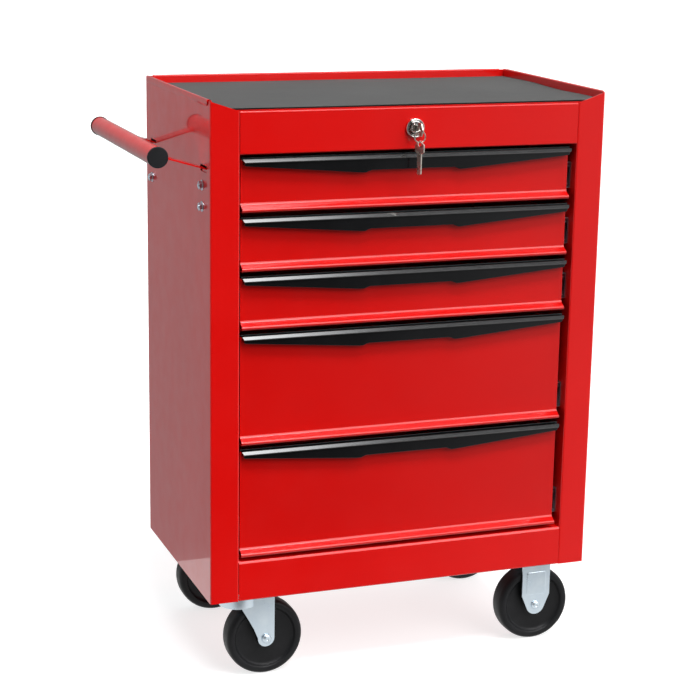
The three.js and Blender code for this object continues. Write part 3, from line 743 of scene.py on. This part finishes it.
def key_in_lock():
    box = Box("key")
    hole = Vector((lock_box.x, box.y0 + BOW, lock_box.z))
    upright = Matrix(((0, 0, 1, 0), (1, 0, 0, 0), (0, 1, 0, 0), (0, 0, 0, 1)))
    return moved(key_solid(35, 0), Matrix.Translation(hole) @ upright)


def spare_key():
    """Hangs from the ring with its blade down, turned a little about the vertical."""
    ring = Box("key_ring")
    hole = Vector((lock_box.x, ring.y, ring.z0 + 1.5 + 0.3 - KEY_HOLE))
    hanging = Matrix(((0, 0, 1, 0), (0, 1, 0, 0), (-1, 0, 0, 0), (0, 0, 0, 1)))
    turn = Matrix.Rotation(math.radians(20), 4, "Z")
    return moved(key_solid(41, 5), Matrix.Translation(hole) @ turn @ hanging)


def split_ring():
    """Flat steel wire in two turns that lie side by side, with a small step where they cross."""
    box = Box("key_ring")
    radius = (box.x1 - box.x0) / 2 - 0.75
    turns, steps, sides = 2, 64, 10
    rings = []
    total = turns * steps - 2
    for k in range(total + 1):
        angle = 2 * math.pi * k / steps + 0.6
        step = 1 / (1 + math.exp(-(k - total / 2) / 1.6))
        offset = -0.36 + 0.72 * step
        centre = Vector((box.x + radius * math.cos(angle), box.y + offset, box.z + radius * math.sin(angle)))
        out = Vector((math.cos(angle), 0, math.sin(angle)))
        ring = []
        for s in range(sides):
            a = 2 * math.pi * s / sides
            ring.append(centre + out * (0.72 * math.cos(a)) + Vector((0, 0.34 * math.sin(a), 0)))
        rings.append(ring)
    return loft(rings, closed=False)


def make_lock():
    piece("lock_bezel", lock_housing(), CHROME, "cabinet", ["lock_housing"])
    piece("lock_cylinder", lock_plug(), CHROME, "lock_plug", ["lock_plug"])
    dress("lock_cam", ZINC, 0.2)
    piece("key_in_lock", key_in_lock(), NICKEL, "key", ["key"])
    piece("split_ring", split_ring(), NICKEL, "key_ring", ["key_ring"], angle=60)
    piece("spare_key_steel", spare_key(), NICKEL, "spare_key", ["spare_key"])


# ---------------------------------------------------------------- push handle
def handle_tube():
    y0, y1 = tube_box.y0, tube_box.y1
    radius = (tube_box.x1 - tube_box.x0) / 2
    bore = radius - 1.2
    profile = [(bore, y0), (radius - 0.3, y0), (radius, y0 + 0.4)]
    profile += [(radius, y1 - 0.4), (radius - 0.3, y1), (bore, y1)]
    return turned(profile, "y", (tube_box.x, tube_box.z), 96)


def handle_cap(end):
    """Plug-in cap: a thin collar with a soft rim and a flat face."""
    box = Box(f"handle_cap_{end}")
    outward = -1 if end == "front" else 1
    face = box.y0 if end == "front" else box.y1
    inner = box.y1 if end == "front" else box.y0
    collar = (box.x1 - box.x0) / 2
    rim_radius, plug_radius = 1.1, 11.2
    collar_end = face - outward * 3.7
    rim = turn_points((collar - rim_radius, 0), rim_radius, 90, 0, 6)
    profile = [
        (0, face),
        (collar - 2 * rim_radius, face),
        *[(p.x, face - outward * (rim_radius - p.y)) for p in rim],
        (collar, collar_end),
        (plug_radius, collar_end),
        (plug_radius, inner),
        (0, inner),
    ]
    return turned(profile, "y", (tube_box.x, tube_box.z), 96)


def handle_bracket(end):
    """Bent strip: bolted flat inside the panel, and out through its slot to the tube."""
    box = bracket_box(end)
    gauge = 2.0
    inside = box.x1 - gauge
    arm_end = (tube_box.x + 12.9, tube_box.z - 4.6)
    line = [(inside, box.z0), (inside, tube_box.z - 21.8), arm_end]
    arm = prism(folded(line, -gauge, bend=1.6), "y", box.y0, box.y1)
    around_tube = [(0, box.y0 - 1), (13.0, box.y0 - 1), (13.0, box.y1 + 1), (0, box.y1 + 1)]
    cutters = []
    for place_yz in bracket_bolt_places():
        cutters.append(prism(turn_points(place_yz, BOLT_HOLE, 0, 345, 23), "x", inside - 1, inside + 5))
    cutters.append(turned(around_tube, "y", (tube_box.x, tube_box.z), 64))
    return rounded_edges(combined(arm, "DIFFERENCE", cutters), 0.3)


def weld_bead(end):
    """Two painted fillet welds that join the arm to the tube, lumpy as a hand-laid bead is."""
    box = bracket_box(end)
    beads = []
    for angle, size in ((-12.0, 1.5), (-32.0, 1.4)):
        at = math.radians(angle)
        x, z = tube_box.x + 13.3 * math.cos(at), tube_box.z + 13.3 * math.sin(at)
        rings = []
        steps = 52
        for k in range(steps + 1):
            share = k / steps
            y = box.y0 + 1 + share * (box.y1 - box.y0 - 2)
            lump = 0.86 + 0.14 * math.sin(share * 50)
            taper = math.sqrt(max(0.02, 1 - (2 * share - 1) ** 6))
            circle = turn_points((x, z), size * lump * taper, 0, 330, 11)
            rings.append([Vector((p.x, y, p.y)) for p in circle])
        beads.append(loft(rings, closed=False))
    return merged(beads)


def hex_fastener(radius, height, washer_radius, washer, stub_radius, stub):
    """Along +z from the surface: a washer, a chamfered hexagon, and the domed end of its screw."""
    disc = [(0, 0), (washer_radius - 0.2, 0), (washer_radius, 0.2), (washer_radius, washer - 0.2)]
    disc = turned([*disc, (washer_radius - 0.2, washer), (0, washer)], "z", (0, 0), 40)
    hexagon = prism(regular_polygon(6, radius), "z", washer, washer + height)
    flat = radius * math.cos(math.pi / 6)
    crown = [
        (0, washer - 1),
        (radius + 1, washer - 1),
        (radius + 1, washer + height - (radius + 1 - flat) * 0.58),
        (flat - 0.1, washer + height),
        (0, washer + height + 0.001),
    ]
    crowned = combined(hexagon, "INTERSECT", [turned(crown, "z", (0, 0), 48)])
    top = washer + height + stub
    screw = [(0, washer + 0.5), (stub_radius, washer + 0.5)]
    screw += [(stub_radius * p.x, top - 0.9 + 0.9 * p.y) for p in turn_points((0, 0), 1, 0, 90, 5)[:-1]]
    screw = turned([*screw, (0, top)], "z", (0, 0), 32)
    whole = combined(disc, "UNION", [rounded_edges(crowned, 0.12, angle=30)])
    return combined(whole, "UNION", [screw])


def make_handle():
    piece("handle_grip_tube", handle_tube(), RED, "cabinet", ["handle_tube"])
    for end in ("front", "rear"):
        piece(f"handle_end_{end}", handle_cap(end), CAP, "cabinet", [f"handle_cap_{end}"])
        piece(f"handle_arm_{end}", handle_bracket(end), RED, "cabinet", [f"handle_bracket_{end}"])
        piece(f"handle_weld_{end}", weld_bead(end), RED, "cabinet", angle=60)
    outward = Matrix(((0, 0, -1, 0), (0, 1, 0, 0), (1, 0, 0, 0), (0, 0, 0, 1)))
    for number, (y, z) in enumerate(bracket_bolt_places(), 1):
        bolt = hex_fastener(5.6, 4.0, 7.0, 1.3, 2.9, 1.4)
        seat = Matrix.Translation((left_side.x0, y, z))
        piece(f"handle_bolt_{number}", moved(bolt, seat @ outward), ZINC, "cabinet")


# ---------------------------------------------------------------- casters
FORK_GAUGE = 2.5
FORK_INSIDE = 17.3
AXLE_RADIUS = 4.5
PLATE_GAUGE = 3.0
PLATE_HALF = (46, 33)
PLATE_BOLTS = [(sx * 37, sy * 24) for sx in (-1, 1) for sy in (-1, 1)]
KINGPIN = 6.0


def wheel(corner):
    """Solid wheel: a hub boss, a dished web, a raised rim and a rounded tread."""
    box = Box(f"{corner}_wheel")
    radius = (box.z1 - box.z0) / 2
    hub = (box.y1 - box.y0) / 2
    rim = 15.2
    depth = 6.5  # of the tread's round
    shoulder = radius - depth
    angles = [math.radians(6 + 14 * k) for k in range(6)]
    tread = [(shoulder + depth * math.sin(a) ** 0.9, rim * math.cos(a) ** 0.5) for a in angles]
    boss = [(AXLE_RADIUS + 0.3, hub), (11.4, hub), (12.2, hub - 0.5), (12.6, hub - 1.4), (13.2, 10.8)]
    web = [(14.2, 9.8), (15.6, 9.4), (28.0, 8.9), (radius - 16.0, 9.4), (radius - 13.6, 10.1)]
    bank = [(radius - 12.2, 11.4), (radius - 11.2, 13.4), (radius - 10.4, 14.6), (radius - 9.2, 15.1)]
    half = [*boss, *web, *bank, (shoulder - 0.6, rim), *tread]
    profile = [(r, box.y + y) for r, y in half]
    profile += [(radius, box.y), *[(r, box.y - y) for r, y in half[::-1]]]
    return turned(profile, "y", (box.x, box.z), 112)


def axle(corner):
    """Riveted axle: a shaft with a domed head at each end, dimpled in the middle."""
    box = Box(f"{corner}_axle")
    half = (box.y1 - box.y0) / 2
    seat = FORK_INSIDE + FORK_GAUGE + 0.3
    head = [(AXLE_RADIUS, seat), (6.4, seat), (6.6, seat + 0.3), (6.6, seat + 1.2), (6.1, seat + 2.2)]
    head += [(5.0, seat + 3.0), (3.6, half - 0.15), (2.7, half)]
    head += [(2.1, half - 0.2), (1.5, half - 0.8), (0, half - 1.0)]
    profile = [(r, box.y - y) for r, y in head[::-1]] + [(r, box.y + y) for r, y in head]
    return turned(profile, "y", (box.x, box.z), 64)


def fork_channel(y, x0, x1, low, crown):
    """U-shaped sheet, open downwards, with its two legs either side of the wheel."""
    outside = FORK_INSIDE + FORK_GAUGE
    line = [(y - outside, low), (y - outside, crown), (y + outside, crown), (y + outside, low)]
    return prism(folded(line, -FORK_GAUGE, bend=2.4), "x", x0, x1)


def creased(bm, y, start, end, slope):
    """Bends the part of each fork leg that lies to the left of a line in (x, z) towards the wheel."""
    start, end = Vector(start), Vector(end)
    run = (end - start).normalized()
    side = Vector((-run.y, run.x))
    normal = Vector((side.x, 0, side.y))
    geometry = [*bm.verts, *bm.edges, *bm.faces]
    bmesh.ops.bisect_plane(bm, geom=geometry, plane_co=(start.x, 0, start.y), plane_no=normal, dist=1e-4)
    for vert in bm.verts:
        beyond = (Vector((vert.co.x, vert.co.z)) - start).dot(side)
        if beyond > 0 and vert.co.z < start.y:
            vert.co.y -= math.copysign(beyond * slope, vert.co.y - y)
    return bm


def swivel_fork(corner):
    """Pressed yoke: a downturned cup round the kingpin, open on the wheel's side, and two tapered legs."""
    box, axle_box, plate = Box(f"{corner}_fork"), Box(f"{corner}_axle"), Box(f"{corner}_caster_plate")
    x, y, hub, hub_z = plate.x, plate.y, axle_box.x, axle_box.z
    top = box.z1
    crown = top - 6.4
    lip = top - 20.1
    eye = 12.0
    channel = fork_channel(y, x - 14, hub + eye, box.z0, crown + FORK_GAUGE)
    outline = [
        (x - 14, crown + 5),
        (x - 14, lip + 4),
        (x - 1, lip + 0.2),
        (x + 10.5, hub_z + 29.5),
        (x + 18, hub_z + 15.5),
        *turn_points((hub, hub_z), eye, 176, 360, 24),
        (hub + eye, crown + 5),
    ]
    outline = rounded(outline, [0, 0, 2, 30, 20] + [0] * 26, steps=4)
    legs = combined(channel, "INTERSECT", [prism(outline, "y", y - 30, y + 30)])
    legs = creased(legs, y, (hub - 8, crown), (hub - 13.5, hub_z + 8), 0.05)
    inside = [(0, crown), (20.5, crown), (22.4, crown - 0.8), (23.3, crown - 2.6), (23.5, lip)]
    outside = [(25.9, lip), (26.0, lip + 0.6), (25.9, crown - 1.0), (25.5, crown + 1.0), (24.6, crown + 2.4)]
    neck = [(23.4, crown + 3.0), (22.8, crown + 4.0), (22.6, top), (0, top)]
    cup = turned([*inside, *outside, *neck], "z", (x, y), 88)
    wheel_room = block(x + 8, x + 30, y - FORK_INSIDE, y + FORK_INSIDE, lip - 1, crown)
    cup = combined(cup, "DIFFERENCE", [wheel_room])
    holes = []
    for radius, high in ((KINGPIN + 0.3, top + 1), (9.3, crown + 0.1)):
        hole = [(0, crown - 8), (radius, crown - 8), (radius, high), (0, high)]
        holes.append(turned(hole, "z", (x, y), 40))
    axle_hole = turn_points((hub, hub_z), AXLE_RADIUS + 0.3, 0, 348.75, 31)
    holes.append(prism(axle_hole, "y", y - 30, y + 30))
    return rounded_edges(combined(combined(cup, "UNION", [legs]), "DIFFERENCE", holes), 0.3, angle=50)


def bearing_balls(corner):
    """Ring of steel balls that shows in the gap between the races."""
    plate, fork = Box(f"{corner}_caster_plate"), Box(f"{corner}_fork")
    count = 24
    balls = []
    for at in turn_points((plate.x, plate.y), 24.6, 0, 360 * (count - 1) / count, count - 1):
        ball = bmesh.new()
        bmesh.ops.create_icosphere(ball, subdivisions=2, radius=1.45)
        balls.append(moved(ball, Matrix.Translation((at.x, at.y, fork.z1 + 0.15))))
    return merged(balls)


def mounting_plate(x, y, z0, z1):
    """A caster's plate, and the cutters of its four bolt holes."""
    half_x, half_y = PLATE_HALF
    corners = [(x - half_x, y - half_y), (x + half_x, y - half_y), (x + half_x, y + half_y)]
    corners.append((x - half_x, y + half_y))
    plate = rounded_edges(prism(rounded(corners, 7), "z", z0, z1), 0.4)
    holes = []
    for dx, dy in PLATE_BOLTS:
        holes.append(prism(turn_points((x + dx, y + dy), 4.2, 0, 345, 23), "z", z0 - 1, z1 + 1))
    return plate, holes


def swivel_plate(corner):
    """Mounting plate with the upper race pressed out of it and the kingpin's head below."""
    box = Box(f"{corner}_caster_plate")
    x, y = box.x, box.y
    fork = Box(f"{corner}_fork")
    race_low = fork.z1 + 0.3
    plate, holes = mounting_plate(x, y, box.z1 - PLATE_GAUGE, box.z1)
    race = [(27.0, 2.2), (26.4, 1.6), (24.6, 1.3), (23.4, 0.6), (22.8, 0), (0, 0)]
    race = [(0, box.z1 - 1), (27.0, box.z1 - 1), *[(r, race_low + z) for r, z in race]]
    pin = [(0, 0), (5.0, 0), (7.6, 0.5), (8.8, 1.5), (9.0, 2.4), (KINGPIN, 2.6)]
    pin = [*[(r, box.z0 + z) for r, z in pin], (KINGPIN, box.z1 - 2), (0, box.z1 - 2)]
    whole = combined(plate, "UNION", [turned(race, "z", (x, y), 72)])
    whole = combined(whole, "UNION", [turned(pin, "z", (x, y), 48)])
    return combined(whole, "DIFFERENCE", holes)


def rigid_fork(corner):
    """Rigid fork: a mounting plate and two straight legs with a pressed panel and a rounded eye."""
    box, axle_box = Box(f"{corner}_fork"), Box(f"{corner}_axle")
    x, y = axle_box.x, axle_box.y
    plate_low = box.z1 - PLATE_GAUGE
    plate, holes = mounting_plate(x, y, plate_low, box.z1)
    half_width, eye = 21.8, 14.3
    around = turn_points((x, axle_box.z), eye, 203, 337, 18)
    left = [(x - half_width, plate_low + 1), (x - half_width, axle_box.z + 15)]
    right = [(x + half_width, axle_box.z + 15), (x + half_width, plate_low + 1)]
    outline = rounded([*left, *around, *right], [0, 6] + [0] * len(around) + [6, 0])
    legs = []
    for side in (-1, 1):
        inner, outer = y + side * FORK_INSIDE, y + side * (FORK_INSIDE + FORK_GAUGE)
        legs.append(rounded_edges(prism(outline, "y", *sorted((inner, outer))), 0.35))
        rings = []
        for grow, out in ((1.4, -0.4), (1.2, 0.0), (0.2, 0.7), (-0.4, 0.8)):
            low, high = axle_box.z + 17 - grow, plate_low - 24 + grow
            across = 14.5 + grow
            corners = [(x - across, low), (x + across, low), (x + across, high), (x - across, high)]
            rings.append([Vector((p.x, outer + side * out, p.y)) for p in rounded(corners, 3.0)])
        legs.append(loft(rings, closed=False))
    whole = plate
    for leg in legs:
        whole = combined(whole, "UNION", [leg])
    holes.append(prism(turn_points((x, axle_box.z), AXLE_RADIUS + 0.3, 0, 348.75, 31), "y", y - 30, y + 30))
    return combined(whole, "DIFFERENCE", holes)


def caster_bolts(corner, x, y, z_plate, z_floor):
    """Four bolts through the floor panel: nuts with washers below the plate, flat heads above the panel."""
    for number, (dx, dy) in enumerate(PLATE_BOLTS, 1):
        nut = hex_fastener(7.2, 5.4, 8.0, 1.2, 3.9, 2.6)
        down = Matrix.Translation((x + dx, y + dy, z_plate)) @ Matrix.Rotation(math.pi, 4, "X")
        head = [(0, 0), (7.4, 0), (7.4, 0.5), (5.6, 2.6), (2.6, 3.5), (0, 3.7)]
        head = turned([(r, z_floor + z) for r, z in head], "z", (x + dx, y + dy), 32)
        bolt = merged([moved(nut, down), head])
        piece(f"{corner}_plate_bolt_{number}", bolt, ZINC, "cabinet")


def make_casters():
    floor_top = Box("bottom_panel").z1
    for corner in CORNERS:
        swivels = corner.endswith("left")
        carrier = f"{corner}_swivel" if swivels else "cabinet"
        piece(f"{corner}_tyre", wheel(corner), WHEEL, f"{corner}_wheel", [f"{corner}_wheel"])
        piece(f"{corner}_rivet", axle(corner), ZINC, carrier, [f"{corner}_axle"])
        if swivels:
            plate = Box(f"{corner}_caster_plate")
            piece(f"{corner}_yoke", swivel_fork(corner), ZINC, carrier, [f"{corner}_fork"])
            piece(f"{corner}_race", swivel_plate(corner), ZINC, "cabinet", [f"{corner}_caster_plate"])
            piece(f"{corner}_balls", bearing_balls(corner), CHROME, carrier, angle=180)
            caster_bolts(corner, plate.x, plate.y, plate.z1 - PLATE_GAUGE, floor_top)
        else:
            fork, axle_box = Box(f"{corner}_fork"), Box(f"{corner}_axle")
            piece(f"{corner}_yoke", rigid_fork(corner), ZINC, carrier, [f"{corner}_fork"])
            caster_bolts(corner, axle_box.x, axle_box.y, fork.z1 - PLATE_GAUGE, floor_top)


# ---------------------------------------------------------------- camera, floor and light
CAMERA_LENS = 95.82
CAMERA_DISTANCE = 2.49855  # metres
CAMERA_TARGET = Vector((MIDDLE_X - 85.5, FRONT_Y, 463.08)) * MM
AZIMUTH, ELEVATION, ROLL = math.radians(-20.41), math.radians(13.93), math.radians(0.99)
FLOOR_ALBEDO, FLOOR_GLOW = 0.5, 0.72
CARD_GLOW = 0.9
KEY_LEVEL = 0.52  # what a white surface facing the key shows
KEY_DIRECTION = Vector((0.33, -0.74, 0.58))
FILL_LEVEL = 0.22
FILL_DIRECTION = Vector((0.45, 0.35, 0.82))
SOFTBOX_LEVEL = 20
BACKDROP_LEVEL = 1.05


def make_camera():
    """Above the top and to the left of the front, with a long lens."""
    level = math.cos(ELEVATION)
    back = Vector((math.sin(AZIMUTH) * level, -math.cos(AZIMUTH) * level, math.sin(ELEVATION)))
    camera = bpy.data.objects.new("camera", bpy.data.cameras.new("camera"))
    camera.data.lens = CAMERA_LENS
    camera.data.sensor_width = 36
    camera.location = CAMERA_TARGET + back * CAMERA_DISTANCE
    camera.rotation_mode = "QUATERNION"
    roll = Matrix.Rotation(ROLL, 3, "Z").to_quaternion()
    camera.rotation_quaternion = (-back).to_track_quat("-Z", "Y") @ roll
    bpy.context.scene.collection.objects.link(camera)
    bpy.context.scene.camera = camera


def paper(name, half_x, half_y, albedo, glow, unseen_by):
    """Level sheet of matt paper that glows a little. unseen_by lists the kinds of ray that miss it."""
    bm = bmesh.new()
    bmesh.ops.create_grid(bm, x_segments=1, y_segments=1, size=1)
    sheet = as_object(bm, name)
    sheet.scale = (half_x, half_y, 1)
    material = bpy.data.materials.new(f"{name}_paper")
    material.use_nodes = True
    inputs = material.node_tree.nodes["Principled BSDF"].inputs
    inputs["Base Color"].default_value = grey(albedo)
    inputs["Roughness"].default_value = 1.0
    inputs["Specular IOR Level"].default_value = 0.0
    inputs["Emission Color"].default_value = grey(1)
    inputs["Emission Strength"].default_value = glow
    sheet.data.materials.append(material)
    for kind in unseen_by:
        setattr(sheet, f"visible_{kind}", False)
    return sheet


def make_floor():
    """Plain pale floor whose glow keeps the shadows on it faint, and a card that only reflections show."""
    paper("floor", 30, 30, FLOOR_ALBEDO, FLOOR_GLOW, ("glossy", "diffuse"))
    others = ("camera", "diffuse", "transmission", "volume_scatter", "shadow")
    card = paper("bounce_card", 0.9, 0.37, 0, CARD_GLOW, others)
    card.location = (0, -0.03, 0.001)


def sun(name, level, direction, degrees):
    data = bpy.data.lights.new(name, "SUN")
    data.energy = level * math.pi
    data.angle = math.radians(degrees)
    obj = bpy.data.objects.new(name, data)
    obj.rotation_mode = "QUATERNION"
    obj.rotation_quaternion = direction.to_track_quat("Z", "Y")
    bpy.context.scene.collection.objects.link(obj)
    return obj


def make_lights():
    """A soft key from the front right and a soft fill from above and behind."""
    sun("key", KEY_LEVEL, KEY_DIRECTION, 45)
    sun("fill", FILL_LEVEL, FILL_DIRECTION, 90)


class Sky:
    """The studio round the object, as brightness by direction."""

    def __init__(self, tree):
        self.tree = tree
        direction = tree.nodes.new("ShaderNodeTexCoord").outputs["Generated"]
        parts = tree.nodes.new("ShaderNodeSeparateXYZ")
        tree.links.new(direction, parts.inputs["Vector"])
        self.x, self.y, self.z = (parts.outputs[axis] for axis in "XYZ")

    def join(self, operation, *values):
        made = self.tree.nodes.new("ShaderNodeMath")
        made.operation = operation
        for socket, value in zip(made.inputs, values):
            if isinstance(value, bpy.types.NodeSocket):
                self.tree.links.new(value, socket)
            else:
                socket.default_value = value
        return made.outputs["Value"]

    def ramp(self, source, start, end, low=0.0, high=1.0):
        """low up to start, high from end on, and smooth between them."""
        made = self.tree.nodes.new("ShaderNodeMapRange")
        made.interpolation_type = "SMOOTHSTEP"
        self.tree.links.new(source, made.inputs["Value"])
        for key, value in zip(("From Min", "From Max", "To Min", "To Max"), (start, end, low, high)):
            made.inputs[key].default_value = value
        return made.outputs["Result"]

    def chain(self, operation, *values):
        """All the values added, or all of them multiplied."""
        result = values[0]
        for value in values[1:]:
            result = self.join(operation, result, value)
        return result


def make_world():
    """White to the eye. In light and reflections it is paler behind and at the sides and dark in front,
    with one bright softbox high above the front, left of the right-hand side's glow."""
    world = bpy.data.worlds.new("studio")
    bpy.context.scene.world = world
    world.use_nodes = True
    tree = world.node_tree
    tree.nodes.clear()
    sky = Sky(tree)
    behind = sky.ramp(sky.y, -0.35, 0.6, 0.0, 0.36)
    left = sky.ramp(sky.x, -0.4, -0.75, 0.0, 0.4)
    right = sky.ramp(sky.x, 0.27, 0.66, 0.0, 0.75)
    right = sky.join("MULTIPLY", right, sky.ramp(sky.y, -0.1, 0.4, 1.0, 0.3))
    slope = sky.join("DIVIDE", sky.y, sky.join("MAXIMUM", sky.z, 0.05))
    softbox = sky.chain(
        "MULTIPLY",
        sky.ramp(slope, -0.60, -0.50),
        sky.ramp(slope, -0.34, -0.24, 1.0, 0.0),
        sky.ramp(sky.x, 0.25, 0.37, 1.0, 0.0),
        sky.ramp(sky.x, -0.3, -0.1),
        sky.ramp(sky.z, 0.3, 0.4, 0.0, SOFTBOX_LEVEL),
    )
    around = tree.nodes.new("ShaderNodeBackground")
    around.inputs["Color"].default_value = (0.97, 0.98, 1.0, 1)
    tree.links.new(sky.chain("ADD", behind, left, right, softbox), around.inputs["Strength"])
    seen = tree.nodes.new("ShaderNodeBackground")
    seen.inputs["Color"].default_value = grey(1)
    seen.inputs["Strength"].default_value = BACKDROP_LEVEL
    path = tree.nodes.new("ShaderNodeLightPath")
    mix = tree.nodes.new("ShaderNodeMixShader")
    output = tree.nodes.new("ShaderNodeOutputWorld")
    tree.links.new(path.outputs["Is Camera Ray"], mix.inputs["Fac"])
    tree.links.new(around.outputs["Background"], mix.inputs[1])
    tree.links.new(seen.outputs["Background"], mix.inputs[2])
    tree.links.new(mix.outputs["Shader"], output.inputs["Surface"])


make_camera()
make_floor()
make_lights()
make_world()
make_body()
make_drawers()
make_lock()
make_handle()
make_casters()
bpy.context.scene.view_settings.view_transform = "Standard"
